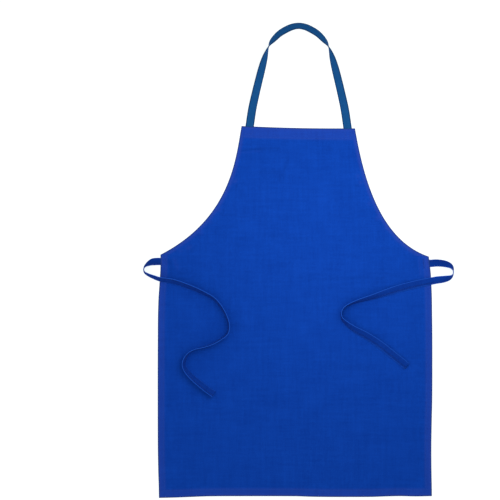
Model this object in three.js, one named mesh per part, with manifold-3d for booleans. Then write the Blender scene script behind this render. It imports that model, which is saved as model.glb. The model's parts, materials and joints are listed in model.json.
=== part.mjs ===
// Bib apron for the workshop, lying flat with its front up. Lengths are in millimetres.
// X runs across the apron, Y from the hem towards the neck, Z up from the surface it lies on.
// The origin is on that surface, at the middle of the apron with its neck strap.
//
// The cloth is one piece on the real apron. Here it is divided at the fold line across the
// waist, so that the bib can turn on the skirt. The neck strap is divided at the bib's top
// edge, and each tie at the outermost point of its loop, for the same reason.

import * as THREE from "three";
import { mergeVertices } from "three/addons/utils/BufferGeometryUtils.js";
import Module from "manifold-3d";

const manifold = await Module();
manifold.setup();

// ---------- Driving dimensions ----------

const gap = 0.3;                 // left between pieces that touch

const panelLength = 944;         // bottom edge to the middle of the bib's top edge
const hemWidth = 700;            // across the bottom edge
const waistWidth = 686;          // across the two waist corners
const bibHeight = 328;           // waist corners to the bib's top edge
const bibWidth = 288;            // along the bib's top edge

const clothThickness = 0.8;
const hemThickness = 1.2;        // the layers turned to the back
const topHem = 28;
const armholeHem = 8;
const sideHem = 16;
const bottomHem = 19;

const strapWidth = 20;
const strapThickness = 1.2;
const strapSewn = 22;            // length of strap inside the top hem

const tieWidth = 19;
const tieThickness = 1.2;
const tieSewn = 12;              // length of tie inside the side hem
const tieDrop = 8;               // waist corner to the tie's upper edge

const threadWidth = 0.8;
const threadHeight = 0.3;
const seamInset = 1.6;           // seam line to the inner edge of its hem
const tackInset = 2.5;           // box stitching to the edge of what it holds
const tackTieWidth = 9;          // box stitching on a tie, across the hem

// How the cloth happens to lie
const bibLean = 10;              // the bib's top edge lies this far to the right
const topEdgeDrop = 3;           // its left end is this much higher than its middle
const waistDrop = 2.4;           // the left waist corner is this much higher than the middle
const flareStraight = 200;       // the sides are straight this far below the waist
const flareBend = 90;            // where the flare between them turns
const foldAbove = 1.2;           // fold line above the higher waist corner
const foldClear = 4;             // seams stop this far from the fold line

const armholePoints = 24;        // straight steps that stand for each curve
const flarePoints = 6;
const runStep = 7;               // length of the steps along a strap or a tie
const rootStep = 4;              // and along the tight loop at a tie's root
const lengthSamples = 40;        // samples of a route's length between two of its rows

// Each armhole is one cubic curve. A pull is the step from its end to its handle.
const leftPull = { top: [-24, -154], waist: [152, 87] };
const rightPull = { top: [17, -118], waist: [-127, 37] };

// ---------- Routes of the flat tapes ----------
// A route's row is [x, y, base, roll]. Base is the height of what the tape lies on, and roll is
// the turn about its own line in degrees: 0 is flat and 90 stands on its edge.

const panelBase = Math.max(hemThickness, strapThickness, tieThickness) + gap;
const front = panelBase + clothThickness;
const onFront = front + gap + threadHeight + gap;

// Half of the neck strap: x from the middle of the loop, y from the bib's top edge.
const strapHalf = [
  [125.7, 0, 0, 0],
  [119.5, 47.8, gap, 12],
  [107.4, 97.6, gap, 22],
  [94.3, 150.4, gap, 31],
  [87.4, 175.9, gap, 48],
  [82.0, 193.8, gap, 70],
  [77.2, 206.0, gap, 90],
  [68.2, 220.3, gap, 124],
  [50.0, 239.6, gap, 140],
  [31.0, 251.6, gap, 144],
  [16.0, 258.0, gap, 142],
];
const strapTop = [0, 260.6, gap, 140];

// The ties: x and y from the point where the tie leaves the side edge.
const leftTieRoute = [
  [tieSewn, 0, 0, 0],
  [0, 0, 0, 0],
  [-6.0, 0, 0, 0],
  [-16.6, -0.8, gap, 12],
  [-25.7, -4.2, gap, 42],
  [-33.0, -8.2, gap, 62],
  [-38.8, -13.0, gap, 78],
  [-41.6, -20.2, gap, 86],
  [-39.0, -28.0, 2 * gap, 78],
  [-29.0, -34.6, 1.6, 68],
  [-14.8, -40.5, onFront, 60],
  [-0.5, -45.5, onFront, 56],
  [33.3, -50.8, onFront, 54],
  [74.6, -64.5, onFront, 56],
  [110.0, -79.6, onFront, 62],
  [138.2, -95.5, onFront, 68],
  [159.0, -119.5, onFront, 73],
  [173.6, -150.5, onFront, 75],
  [176.4, -169.2, onFront, 76],
  [172.3, -185.1, onFront, 78],
  [156.1, -199.2, onFront, 81],
  [133.1, -212.3, onFront, 84],
  [109.5, -220.0, onFront, 87],
  [86.4, -226.5, onFront, 93],
  [70.8, -238.0, onFront, 103],
  [62.5, -253.2, onFront, 112],
  [61.2, -266.7, onFront, 118],
  [68.8, -281.8, onFront, 124],
  [83.0, -297.2, onFront, 132],
  [103.0, -314.2, onFront, 141],
  [122.5, -329.5, onFront, 146],
  [138.2, -340.0, onFront, 149],
];
const rightTieRoute = [
  [-tieSewn, 0, 0, 0],
  [0, 0, 0, 0],
  [6.0, 0, 0, 0],
  [20.0, 1.0, gap, -14],
  [42.0, -1.6, gap, -30],
  [54.4, -7.0, gap, -48],
  [60.4, -14.5, gap, -72],
  [62.0, -22.5, gap, -88],
  [60.0, -30.5, 2 * gap, -77],
  [52.0, -36.6, 1.6, -50],
  [37.0, -40.6, 2.8, -25],
  [20.0, -42.8, onFront, -10],
  [2.1, -46.2, onFront, -5],
  [-23.1, -51.0, onFront, -8],
  [-44.4, -55.9, onFront, -10],
  [-79.7, -65.2, onFront, -14],
  [-110.3, -74.9, onFront, -28],
  [-142.3, -85.5, onFront, -45],
  [-175.6, -94.7, onFront, -62],
  [-203.5, -104.6, onFront, -76],
  [-219.0, -113.8, onFront, -86],
  [-225.1, -124.6, onFront, -92],
  [-224.1, -138.5, onFront, -100],
  [-213.0, -152.5, onFront, -122],
  [-193.8, -167.4, onFront, -143],
  [-160.8, -185.2, onFront, -157],
  [-127.9, -206.6, onFront, -165],
  [-98.6, -229.6, onFront, -168],
  [-75.3, -248.2, onFront, -170],
  [-56.7, -263.8, onFront, -172],
];
const tieTurn = 7;               // the row of either route where the loop turns back

// ---------- Places worked out from the dimensions ----------

const topRoll = THREE.MathUtils.degToRad(strapTop[3]);
const archHalf = (strapWidth * Math.abs(Math.cos(topRoll)) + strapThickness * Math.sin(topRoll)) / 2;
const loopReach = strapTop[1] + archHalf;
const yBottom = -(panelLength + loopReach) / 2;
const yTop = yBottom + panelLength;
const yWaist = yTop - bibHeight;
const yFold = yWaist + waistDrop + foldAbove;

const point = (x, y) => new THREE.Vector2(x, y);
const topLeft = point(bibLean - bibWidth / 2, yTop + topEdgeDrop);
const topRight = point(bibLean + bibWidth / 2, yTop - topEdgeDrop);
const waistLeft = point(-waistWidth / 2, yWaist + waistDrop);
const waistRight = point(waistWidth / 2, yWaist - waistDrop);

function armhole(top, waist, pull) {
  const topHandle = top.clone().add(point(...pull.top));
  const waistHandle = waist.clone().add(point(...pull.waist));
  return new THREE.CubicBezierCurve(top, topHandle, waistHandle, waist).getSpacedPoints(armholePoints);
}

function sideEdge(waist, sign) {
  const x = sign * hemWidth / 2;
  const flare = new THREE.QuadraticBezierCurve(
    waist,
    point(x, yWaist - flareBend),
    point(x, yWaist - flareStraight),
  );
  return [...flare.getPoints(flarePoints), point(x, yBottom)];
}

const leftArmhole = armhole(topLeft, waistLeft, leftPull);
const rightArmhole = armhole(topRight, waistRight, rightPull);
const leftSide = sideEdge(waistLeft, -1);
const rightSide = sideEdge(waistRight, 1);

// The x of a side edge at the height y, between the edge's own points
function edgeAt(edge, y) {
  const after = edge.findIndex((p) => p.y <= y);
  const [a, b] = [edge[after - 1], edge[after]];
  return THREE.MathUtils.mapLinear(y, a.y, b.y, a.x, b.x);
}

// ---------- Solids ----------

// A closed geometry as a solid that can be cut
function solidOf(geometry) {
  const bare = geometry.clone();
  bare.deleteAttribute("normal");
  bare.deleteAttribute("uv");
  const merged = mergeVertices(bare);
  return new manifold.Manifold(new manifold.Mesh({
    numProp: 3,
    vertProperties: merged.attributes.position.array,
    triVerts: new Uint32Array(merged.index.array),
  }));
}

function geometryOf(solid) {
  const mesh = solid.getMesh();
  const geometry = new THREE.BufferGeometry();
  geometry.setAttribute("position", new THREE.BufferAttribute(mesh.vertProperties, 3));
  geometry.setIndex(new THREE.BufferAttribute(mesh.triVerts, 1));
  geometry.computeVertexNormals();
  return geometry;
}

// A flat outline between two heights. Cutting plates run from below the surface.
function plate(outline, low, high) {
  const geometry = new THREE.ExtrudeGeometry(new THREE.Shape(outline), {
    depth: high - low,
    bevelEnabled: false,
  });
  return geometry.translate(0, 0, low);
}

// The outline of a strip between two lines beside a row of points.
// A positive distance lies to the left of the way the points run.
function stripOutline(points, near, far) {
  const side = points.map((p, i) => {
    const ahead = points[Math.min(i + 1, points.length - 1)];
    const behind = points[Math.max(i - 1, 0)];
    const along = ahead.clone().sub(behind).normalize();
    return point(-along.y, along.x);
  });
  const line = (distance) => points.map((p, i) => p.clone().addScaledVector(side[i], distance));
  return [...line(near), ...line(far).reverse()];
}

// A flat bar along the line from a to b, longer by extra at each end
function bar(a, b, width, low, high, extra = 0) {
  const along = b.clone().sub(a).normalize();
  const start = a.clone().addScaledVector(along, -extra);
  const end = b.clone().addScaledVector(along, extra);
  return plate(stripOutline([start, end], -width / 2, width / 2), low, high);
}

// The line from a to b, shorter by a length at each end
function shortened(a, b, length) {
  const share = length / a.distanceTo(b);
  return [a.clone().lerp(b, share), b.clone().lerp(a, share)];
}

// A ring of stitching round a rectangle whose middle line runs from a to b
function boxStitch(a, b, width) {
  const half = width / 2;
  const inner = stripOutline(shortened(a, b, threadWidth), threadWidth - half, half - threadWidth);
  const shape = new THREE.Shape(stripOutline([a, b], -half, half));
  shape.holes.push(new THREE.Path(inner));
  const geometry = new THREE.ExtrudeGeometry(shape, { depth: threadHeight, bevelEnabled: false });
  return geometry.translate(0, 0, front + gap);
}

// Everything above or below a line across the apron, for cutting
function cutter(yLow, yHigh) {
  const geometry = new THREE.BoxGeometry(2 * hemWidth, yHigh - yLow, 2 * hemWidth);
  return solidOf(geometry.translate(0, (yLow + yHigh) / 2, 0));
}

const far = 2 * panelLength;
const below = -1;
const belowFold = cutter(-far, yFold + gap / 2);
const aboveFold = cutter(yFold - gap / 2, far);

// A flat tape along a route: a straight extrusion whose points are then moved onto the route.
// The stretch runs between two rows of the route, and trim shortens it at its start and end.
function tape(route, width, thickness, first, last, trim, step) {
  const roll = route.map((row) => THREE.MathUtils.degToRad(row[3]));
  const tall = (turn) => width * Math.abs(Math.sin(turn)) + thickness * Math.abs(Math.cos(turn));
  const curve = new THREE.CatmullRomCurve3(
    route.map(([x, y, base], i) => new THREE.Vector3(x, y, base + tall(roll[i]) / 2)),
  );
  const lastRow = route.length - 1;
  curve.arcLengthDivisions = lengthSamples * lastRow;
  const lengths = curve.getLengths();
  const whole = lengths[curve.arcLengthDivisions];
  const start = lengths[first * lengthSamples] + trim[0];
  const end = lengths[last * lengthSamples] - trim[1];
  const steps = Math.ceil((end - start) / step);
  const section = [
    point(-width / 2, -thickness / 2),
    point(width / 2, -thickness / 2),
    point(width / 2, thickness / 2),
    point(-width / 2, thickness / 2),
  ];
  const geometry = new THREE.ExtrudeGeometry(new THREE.Shape(section), {
    depth: 1,
    steps,
    bevelEnabled: false,
  });
  const place = geometry.attributes.position;
  for (let i = 0; i < place.count; i += 1) {
    const u = THREE.MathUtils.lerp(start, end, place.getZ(i)) / whole;
    const t = curve.getUtoTmapping(u);
    const row = Math.min(Math.floor(t * lastRow), lastRow - 1);
    const turn = THREE.MathUtils.lerp(roll[row], roll[row + 1], t * lastRow - row);
    const along = curve.getTangent(t);
    const left = new THREE.Vector3(-along.y, along.x, 0).normalize();
    const up = along.clone().cross(left);
    const across = left.multiplyScalar(Math.cos(turn)).addScaledVector(up, Math.sin(turn));
    const normal = along.clone().cross(across);
    const spot = curve.getPoint(t);
    spot.addScaledVector(across, place.getX(i));
    spot.addScaledVector(normal, place.getY(i));
    place.setXYZ(i, spot.x, spot.y, spot.z);
  }
  geometry.computeVertexNormals();
  return geometry;
}

// ---------- Materials ----------

const clothFinish = { color: 0x1346b3, roughness: 0.9, metalness: 0 };
const tapeFinish = { color: 0x165291, roughness: 0.75, metalness: 0 };
const threadFinish = { color: 0x1a3f9e, roughness: 0.6, metalness: 0 };

const apron = new THREE.Group();

function add(name, geometry, finish) {
  const mesh = new THREE.Mesh(geometry, new THREE.MeshStandardMaterial(finish));
  mesh.name = name;
  apron.add(mesh);
}

// ---------- Cloth ----------

const outline = [
  ...leftSide.slice().reverse(),
  ...leftArmhole.slice().reverse().slice(1),
  ...rightArmhole,
  ...rightSide.slice(1),
];
const panel = solidOf(plate(outline, panelBase, front));
add("bib_panel", geometryOf(panel.subtract(belowFold)), clothFinish);
add("skirt_panel", geometryOf(panel.subtract(aboveFold)), clothFinish);

// ---------- Hems, turned to the back ----------

// The neck strap's sewn ends run on from its first stretch, down into the top hem.
const loopMiddle = bibLean;
const edgeY = (x) => THREE.MathUtils.mapLinear(x, topLeft.x, topRight.x, topLeft.y, topRight.y);
const legLean = (strapHalf[0][0] - strapHalf[1][0]) / strapHalf[1][1];
// The strap is divided square to its leg, just clear of the bib's top edge.
const strapDivide = legLean * strapWidth / 2 + gap;

function strapRoot(sign) {
  const x = loopMiddle + sign * strapHalf[0][0];
  const top = point(x, edgeY(x));
  const up = point(-sign * legLean, 1).normalize();
  const inside = top.clone().addScaledVector(up, -strapSewn);
  const outside = top.clone().addScaledVector(up, strapDivide);
  return { top, inside, outside };
}

const strapRoots = { left: strapRoot(-1), right: strapRoot(1) };
const topLine = [topLeft.clone().lerp(topRight, -1), topRight.clone().lerp(topLeft, -1)];
const topHemSolid = solidOf(plate(stripOutline(topLine, 0, -topHem), 0, hemThickness));
const pockets = Object.values(strapRoots).map(({ inside, outside }) => (
  solidOf(bar(inside, outside, strapWidth + 2 * gap, below, panelBase, gap))
));
const wholeOutline = solidOf(plate(outline, below, front));
const topHemInPanel = topHemSolid.intersect(wholeOutline);
add("top_hem", geometryOf(topHemInPanel.subtract(pockets[0]).subtract(pockets[1])), clothFinish);

// Armhole hems run from under the top hem to the fold line.
const besideTopHem = solidOf(plate(stripOutline(topLine, topHem, -topHem - gap), below, front));
const armholes = { left: [leftArmhole, 1], right: [rightArmhole, -1] };
for (const [name, [edge, inward]] of Object.entries(armholes)) {
  const strip = solidOf(plate(stripOutline(edge, 0, inward * armholeHem), 0, hemThickness));
  add(`${name}_armhole_hem`, geometryOf(strip.subtract(besideTopHem).subtract(belowFold)), clothFinish);
}

// Each tie leaves the side a little below the waist corner. The side flares outwards, so the
// tie starts to bend only where its lower edge is past it.
function tieExit(waist, edge) {
  const y = waist.y - tieDrop - tieWidth / 2;
  return point(edgeAt(edge, y - tieWidth / 2), y);
}

const sides = {
  left: { edge: leftSide, inward: 1, exit: tieExit(waistLeft, leftSide), route: leftTieRoute },
  right: { edge: rightSide, inward: -1, exit: tieExit(waistRight, rightSide), route: rightTieRoute },
};
const overBottomHem = cutter(-far, yBottom + bottomHem + gap);
for (const [name, { edge, inward, exit }] of Object.entries(sides)) {
  const strip = solidOf(plate(stripOutline(edge, 0, inward * sideHem), 0, hemThickness));
  const inside = exit.clone().add(point(inward * tieSewn, 0));
  const outside = exit.clone().add(point(-inward * tieSewn, 0));
  const pocket = solidOf(bar(inside, outside, tieWidth + 2 * gap, below, panelBase, gap));
  const inPanel = strip.intersect(wholeOutline);
  add(`${name}_side_hem`, geometryOf(inPanel.subtract(overBottomHem).subtract(pocket)), clothFinish);
}

const hemLine = [point(-hemWidth / 2, yBottom), point(hemWidth / 2, yBottom)];
add("bottom_hem", plate(stripOutline(hemLine, 0, bottomHem), 0, hemThickness), clothFinish);

// ---------- Neck strap ----------

const strapRow = (sign) => ([x, y, base, roll]) => {
  const root = sign < 0 ? strapRoots.left.top : strapRoots.right.top;
  const share = 1 - y / strapTop[1];
  return [loopMiddle + sign * x, yTop + y + (root.y - yTop) * share, base, roll];
};
const strapRoute = [
  ...strapHalf.map(strapRow(1)),
  [loopMiddle, yTop + strapTop[1], strapTop[2], strapTop[3]],
  ...strapHalf.map(strapRow(-1)).reverse(),
].map(([x, y, base, roll]) => [x, y, base, -roll]);
const strapTrim = [strapDivide + gap, strapDivide + gap];
const loop = tape(strapRoute, strapWidth, strapThickness, 0, strapRoute.length - 1, strapTrim, runStep);
add("neck_strap", loop, tapeFinish);
for (const [name, { inside, outside }] of Object.entries(strapRoots)) {
  add(`neck_strap_${name}_end`, bar(inside, outside, strapWidth, 0, strapThickness), tapeFinish);
}

// ---------- Waist ties ----------

for (const [name, { exit, route }] of Object.entries(sides)) {
  const placed = route.map(([x, y, base, roll]) => [exit.x + x, exit.y + y, base, roll]);
  const stretch = (first, last, trim, step) => (
    tape(placed, tieWidth, tieThickness, first, last, trim, step)
  );
  add(`${name}_tie_root`, stretch(0, tieTurn, [0, gap], rootStep), clothFinish);
  add(`${name}_tie`, stretch(tieTurn, route.length - 1, [gap, 0], runStep), clothFinish);
}

// ---------- Stitching, on the front ----------

// A row of stitches beside an edge. A positive inset lies to the left of the edge's points.
function seam(name, points, inset) {
  const half = Math.sign(inset) * threadWidth / 2;
  const line = stripOutline(points, inset - half, inset + half);
  add(name, plate(line, front + gap, front + gap + threadHeight), threadFinish);
}

const topInset = topHem - seamInset;
const armholeInset = armholeHem - seamInset;
const sideInset = sideHem - seamInset;
seam("top_hem_stitching", shortened(topLeft, topRight, 2 * armholeHem), -topInset);

for (const [name, [edge, inward]] of Object.entries(armholes)) {
  const between = edge.filter((p, i) => (
    p.y < yTop - topHem - armholeHem && edge[Math.min(i + 1, edge.length - 1)].y > yFold + foldClear
  ));
  seam(`${name}_armhole_stitching`, between, inward * armholeInset);
}

for (const [name, { edge, inward, exit }] of Object.entries(sides)) {
  const low = point(edge[edge.length - 1].x, yBottom + bottomHem + seamInset);
  const start = point(edgeAt(edge, exit.y + tieWidth / 2), exit.y + tieWidth / 2);
  const between = edge.filter((p) => p.y < start.y && p.y > low.y);
  seam(`${name}_side_stitching`, [start, ...between, low], inward * sideInset);
  const offset = point(inward * (tackInset + tackTieWidth / 2), tieWidth / 2 - tackInset);
  const near = exit.clone().add(offset);
  const away = near.clone().add(point(0, 2 * tackInset - tieWidth));
  add(`${name}_tie_tack`, boxStitch(near, away, tackTieWidth), threadFinish);
}

seam("bottom_stitching", shortened(...hemLine, 2 * seamInset), bottomHem - seamInset);

for (const [name, { inside, top }] of Object.entries(strapRoots)) {
  const ends = shortened(top, inside, tackInset);
  add(`${name}_strap_tack`, boxStitch(...ends, strapWidth - 2 * tackInset), threadFinish);
}

export default apron;
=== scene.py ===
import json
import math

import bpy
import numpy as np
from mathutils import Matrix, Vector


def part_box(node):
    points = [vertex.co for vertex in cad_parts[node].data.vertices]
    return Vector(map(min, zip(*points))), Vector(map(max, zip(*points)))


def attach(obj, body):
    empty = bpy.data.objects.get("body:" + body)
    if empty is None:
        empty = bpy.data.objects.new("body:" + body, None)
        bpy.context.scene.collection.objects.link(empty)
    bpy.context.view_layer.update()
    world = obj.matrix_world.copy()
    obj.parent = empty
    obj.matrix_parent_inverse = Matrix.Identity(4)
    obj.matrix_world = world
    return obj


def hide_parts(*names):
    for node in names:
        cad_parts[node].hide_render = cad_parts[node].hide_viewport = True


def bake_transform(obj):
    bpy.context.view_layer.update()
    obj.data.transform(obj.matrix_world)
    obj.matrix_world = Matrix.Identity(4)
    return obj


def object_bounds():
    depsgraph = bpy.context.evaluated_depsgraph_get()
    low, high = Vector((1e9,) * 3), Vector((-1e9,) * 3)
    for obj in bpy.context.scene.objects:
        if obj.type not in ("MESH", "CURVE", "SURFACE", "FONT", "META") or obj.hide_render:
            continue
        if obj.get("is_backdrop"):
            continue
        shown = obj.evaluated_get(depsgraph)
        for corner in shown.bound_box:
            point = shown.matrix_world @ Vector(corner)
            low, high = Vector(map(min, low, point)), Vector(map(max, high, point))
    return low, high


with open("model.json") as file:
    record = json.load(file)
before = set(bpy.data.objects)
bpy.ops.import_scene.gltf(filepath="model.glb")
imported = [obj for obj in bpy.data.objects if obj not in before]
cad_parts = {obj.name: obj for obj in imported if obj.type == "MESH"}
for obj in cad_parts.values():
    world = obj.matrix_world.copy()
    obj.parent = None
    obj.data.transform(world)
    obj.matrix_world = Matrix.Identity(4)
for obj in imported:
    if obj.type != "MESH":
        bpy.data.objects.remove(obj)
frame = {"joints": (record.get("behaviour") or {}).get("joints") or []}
cad_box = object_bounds()

# %% [markdown]
# # A cloth bib apron, lying flat with its front up
#
# The apron is a cut of plain blue cotton with its edges turned to the back and sewn down. A flat
# tape makes the loop for the neck, and two narrow ties of the same cloth come out of the sides at
# the waist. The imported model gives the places: X runs across the apron, Y from the hem towards the
# neck, Z up from the surface it lies on, and all lengths are in metres. Everything here is made in
# that frame, so no piece has to be moved into place afterwards.
#
# The order is the camera, the three tapes, the cloth, the stitches, the finishes, and the light.

joints = {joint["name"]: joint for joint in frame["joints"]}
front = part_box("skirt_panel")[1].z
waist_fold = Vector(joints["bib_fold"]["pos_m"])
print(f"front of the cloth at {front * 1000:.1f} mm, fold at y = {waist_fold.y * 1000:.1f} mm")

# %% [markdown]
# ## Camera
#
# The apron is seen from straight above, through a lens so long that raised pieces hardly lean
# outwards. A camera with no turn at all already looks down -Z with +Y up, so only its place is
# needed. Its height follows from the width of the view and the lens.

# %% The camera
view_middle = (-0.1141, 0.0240)
view_width = 1.282
camera_height = 8.0

camera_data = bpy.data.cameras.new("camera")
camera_data.sensor_width = 0.036 * 1000
camera_data.lens = camera_data.sensor_width * camera_height / view_width
camera_data.clip_end = 100
camera = bpy.data.objects.new("camera", camera_data)
camera.location = (*view_middle, front + camera_height)
bpy.context.scene.collection.objects.link(camera)
bpy.context.scene.camera = camera
print(f"camera {camera_height} m up with a {camera_data.lens:.0f} mm lens")

# %% [markdown]
# ## How the cloth lies
#
# Cloth on a table is never quite flat. Its turned edges are three layers thick and the single
# layer between them sinks a little towards the table, and here and there it stands up in a low,
# wide swelling. Sharper creases are pressed into it at the waist corners and on the bib, and the
# armhole seams pull small puckers. The ties lie on the cloth, so both need the same heights. One
# function gives them from three short lists, and the sinking starts at the side hems.

# %% Soft steps and bumps
def soft_step(low, high, value):
    """0 below low, 1 above high, and smooth between them"""
    share = np.clip((value - low) / (high - low), 0, 1)
    return share * share * (3 - 2 * share)


# Low swellings: x, y, reach along x, reach along y, height
swellings = [
    (-0.020, -0.180, 0.090, 0.160, 0.0026),
    (-0.220, -0.470, 0.080, 0.110, 0.0030),
    (0.160, -0.430, 0.100, 0.080, 0.0024),
    (0.020, 0.160, 0.080, 0.110, 0.0022),
    (0.260, -0.520, 0.050, 0.090, 0.0022),
    (-0.060, -0.560, 0.110, 0.040, 0.0018),
    (-0.130, 0.060, 0.070, 0.060, 0.0016),
    (0.150, 0.050, 0.080, 0.050, 0.0018),
    (-0.270, -0.300, 0.050, 0.070, 0.0016),
    (0.060, 0.285, 0.070, 0.030, 0.0010),
]

# Creases: from x, y to x, y, reach to each side, height
creases = [
    (-0.136, 0.2790, -0.088, 0.2835, 0.0026, -0.0013),
    (-0.136, 0.2745, -0.088, 0.2790, 0.0026, 0.0008),
    (-0.088, 0.2835, -0.040, 0.2850, 0.0026, -0.0010),
    (-0.019, 0.2540, -0.037, 0.2030, 0.0050, -0.0005),
    (-0.088, 0.2225, -0.040, 0.2230, 0.0050, -0.0005),
    (0.012, -0.0490, 0.268, -0.0470, 0.0060, -0.0003),
    (0.3300, 0.0000, 0.3330, -0.0220, 0.0024, -0.0016),
    (0.3365, 0.0020, 0.3400, -0.0220, 0.0024, 0.0018),
    (0.3190, 0.0030, 0.3240, -0.0380, 0.0040, 0.0010),
    (0.3110, 0.0000, 0.3140, -0.0340, 0.0046, -0.0006),
    (-0.3340, -0.0020, -0.3210, -0.0080, 0.0046, -0.0010),
    (-0.3200, -0.0060, -0.3160, -0.0270, 0.0050, -0.0006),
    (-0.3090, 0.0000, -0.3000, -0.0220, 0.0050, 0.0008),
    (-0.147, -0.1620, -0.145, -0.1850, 0.0040, -0.0008),
    (0.090, -0.2740, 0.190, -0.2770, 0.0080, -0.0004),
    (-0.060, 0.0560, 0.040, 0.0520, 0.0060, -0.0004),
]

# Puckers where the armhole seams pull: x, y, reach, height
puckers = [
    (-0.152, 0.2000, 0.0052, 0.0017),
    (-0.149, 0.1890, 0.0046, -0.0011),
    (-0.194, 0.1260, 0.0050, 0.0016),
    (-0.188, 0.1180, 0.0046, -0.0011),
    (-0.216, 0.0950, 0.0042, 0.0010),
    (-0.240, 0.0680, 0.0048, 0.0014),
    (-0.271, 0.0300, 0.0056, 0.0018),
    (-0.262, 0.0240, 0.0046, -0.0010),
    (-0.293, 0.0220, 0.0046, 0.0010),
    (0.163, 0.2140, 0.0046, 0.0013),
    (0.170, 0.1970, 0.0050, 0.0016),
    (0.161, 0.1900, 0.0042, -0.0009),
    (0.192, 0.1430, 0.0046, 0.0012),
    (0.213, 0.1060, 0.0050, 0.0015),
    (0.222, 0.0900, 0.0044, -0.0009),
    (0.236, 0.0790, 0.0048, 0.0013),
    (0.262, 0.0500, 0.0046, 0.0011),
    (0.296, 0.0250, 0.0050, 0.0014),
]


def pressed_lines(x, y):
    """Height of the creases and puckers alone"""
    total = 0
    for start_x, start_y, end_x, end_y, reach, height in creases:
        step_x, step_y = end_x - start_x, end_y - start_y
        share = ((x - start_x) * step_x + (y - start_y) * step_y) / (step_x ** 2 + step_y ** 2)
        share = np.clip(share, 0, 1)
        off_x, off_y = x - start_x - share * step_x, y - start_y - share * step_y
        total = total + height * np.exp(-((off_x ** 2 + off_y ** 2) / reach ** 2))
    for middle_x, middle_y, reach, height in puckers:
        away = ((x - middle_x) ** 2 + (y - middle_y) ** 2) / reach ** 2
        total = total + height * np.exp(-away)
    return total


def lift(x, y):
    """How far the cloth stands above its flat place"""
    total = pressed_lines(x, y)
    for middle_x, middle_y, reach_x, reach_y, height in swellings:
        away = ((x - middle_x) / reach_x) ** 2 + ((y - middle_y) / reach_y) ** 2
        total = total + height * np.exp(-away)
    return total


single_layer_sinks = 0.0007
side_hem = 0.016
half_width = 0.350


def settled(x, y):
    """The height of the front at x and y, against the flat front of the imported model"""
    from_side = half_width - np.abs(x)
    inside = soft_step(side_hem - 0.0006, side_hem + 0.004, from_side)
    return lift(x, y) - single_layer_sinks * inside


print(f"highest swelling {max(row[4] for row in swellings) * 1000:.1f} mm")

# %% [markdown]
# ## Tapes
#
# The neck strap and the ties are flat tapes that lie loose, bend sideways and turn over. A flat
# tape can't be a round cord, and a curve object with a bevel turns its section by rules of its own.
# So each is lofted: a rounded section is carried along a smooth line, turned by a chosen angle at
# each point. The points are a short list of x, y, the height of what the tape rests on
# there, and its roll in degrees: 0 lies flat, 90 stands on its edge. Between the points the line
# is a Catmull-Rom curve, and the roll runs without overshooting.

# %% A smooth line through a few points
def slopes(knots, values):
    """Slope at each knot: the mean of the two sides, weighted as a parabola through them"""
    steps = np.diff(knots)
    rates = np.diff(values) / steps
    inner = (rates[:-1] * steps[1:] + rates[1:] * steps[:-1]) / (steps[1:] + steps[:-1])
    return np.concatenate([[rates[0]], inner, [rates[-1]]])


def level_slopes(knots, values):
    """The same, but 0 at each turning point and never steep enough to overshoot"""
    rates = np.diff(values) / np.diff(knots)
    found = slopes(knots, values)
    for i in range(1, len(knots) - 1):
        if rates[i - 1] * rates[i] <= 0:
            found[i] = 0
        else:
            limit = 3 * min(abs(rates[i - 1]), abs(rates[i]))
            found[i] = np.clip(found[i], -limit, limit)
    return found


def hermite(knots, values, slope, at):
    """The cubic through the knots with those slopes, read at the places in at"""
    i = np.clip(np.searchsorted(knots, at, side="right") - 1, 0, len(knots) - 2)
    step = knots[i + 1] - knots[i]
    t = (at - knots[i]) / step
    rise = values[i + 1] - values[i]
    bend_a = slope[i] * step - rise
    bend_b = rise - slope[i + 1] * step
    return values[i] + t * rise + t * (1 - t) * (bend_a * (1 - t) + bend_b * t)


# %% Where a tape goes
def tape_line(rows, width, thickness, step):
    """Evenly spaced places along a tape: centre, along, across, normal and distance run"""
    table = np.array(rows, float)
    plan = table[:, :2]
    chord = np.linalg.norm(np.diff(plan, axis=0), axis=1)
    knots = np.concatenate([[0], np.cumsum(np.sqrt(chord))])
    fine = np.linspace(0, knots[-1], 60 * len(rows))

    def read(at):
        x = hermite(knots, table[:, 0], slopes(knots, table[:, 0]), at)
        y = hermite(knots, table[:, 1], slopes(knots, table[:, 1]), at)
        base = hermite(knots, table[:, 2], level_slopes(knots, table[:, 2]), at)
        roll = np.radians(hermite(knots, table[:, 3], level_slopes(knots, table[:, 3]), at))
        half = (width * np.abs(np.sin(roll)) + thickness * np.abs(np.cos(roll))) / 2
        return np.stack([x, y, base + half], axis=1), roll

    spots, _ = read(fine)
    run = np.concatenate([[0], np.cumsum(np.linalg.norm(np.diff(spots, axis=0), axis=1))])
    even = np.linspace(0, run[-1], round(run[-1] / step) + 1)
    centre, roll = read(np.interp(even, run, fine))
    along = np.gradient(centre, even, axis=0)
    along /= np.linalg.norm(along, axis=1, keepdims=True)
    left = np.stack([-along[:, 1], along[:, 0], np.zeros(len(even))], axis=1)
    left /= np.linalg.norm(left, axis=1, keepdims=True)
    up = np.cross(along, left)
    across = left * np.cos(roll)[:, None] + up * np.sin(roll)[:, None]
    normal = np.cross(along, across)
    return {"centre": centre, "along": along, "across": across, "normal": normal, "run": even}


# %% The tape itself
section_points = 40
seam_groove_reach = 0.0010
sewn_flatness = 0.5
end_fullness = 0.72


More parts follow.
